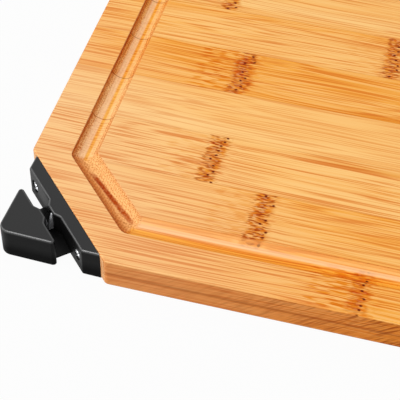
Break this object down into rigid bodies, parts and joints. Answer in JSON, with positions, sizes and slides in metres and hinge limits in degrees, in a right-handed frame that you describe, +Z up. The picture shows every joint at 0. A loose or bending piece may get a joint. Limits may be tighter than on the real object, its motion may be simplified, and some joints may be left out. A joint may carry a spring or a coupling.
{
  "type": "bamboo cutting board",
  "caption": "Laminated bamboo cutting board with a juice groove round its top and a black pull-through knife sharpener screwed to one cut-off corner.",
  "frame": {"origin": "middle of the board's rectangle, on the surface that it rests on", "axes": "+X along the long side and the laths, +Y from the front edge to the back edge, +Z up out of the cutting face. The sharpener is at the low X, low Y corner"},
  "size_m": [0.34, 0.24, 0.014],
  "materials": {
    "bamboo": "oiled, fine grain",
    "black_abs": "satin moulded",
    "carbide": "ground",
    "screw_steel": "bright zinc"
  },
  "bodies": {
    "root": {"top_lath_1": "bamboo", "top_lath_2": "bamboo", "top_lath_3": "bamboo", "top_lath_4": "bamboo", "top_lath_5": "bamboo", "top_lath_6": "bamboo", "top_lath_7": "bamboo", "top_lath_8": "bamboo", "top_lath_9": "bamboo", "bottom_lath_1": "bamboo", "bottom_lath_2": "bamboo", "bottom_lath_3": "bamboo", "bottom_lath_4": "bamboo", "bottom_lath_5": "bamboo", "bottom_lath_6": "bamboo", "bottom_lath_7": "bamboo", "bottom_lath_8": "bamboo", "bottom_lath_9": "bamboo", "sharpener_housing": "black_abs", "base_cover": "black_abs", "blade_holder": "black_abs", "front_blade": "carbide", "rear_blade": "carbide", "mounting_screws": "screw_steel", "cover_screws": "screw_steel"}
  },
  "joints": []
}
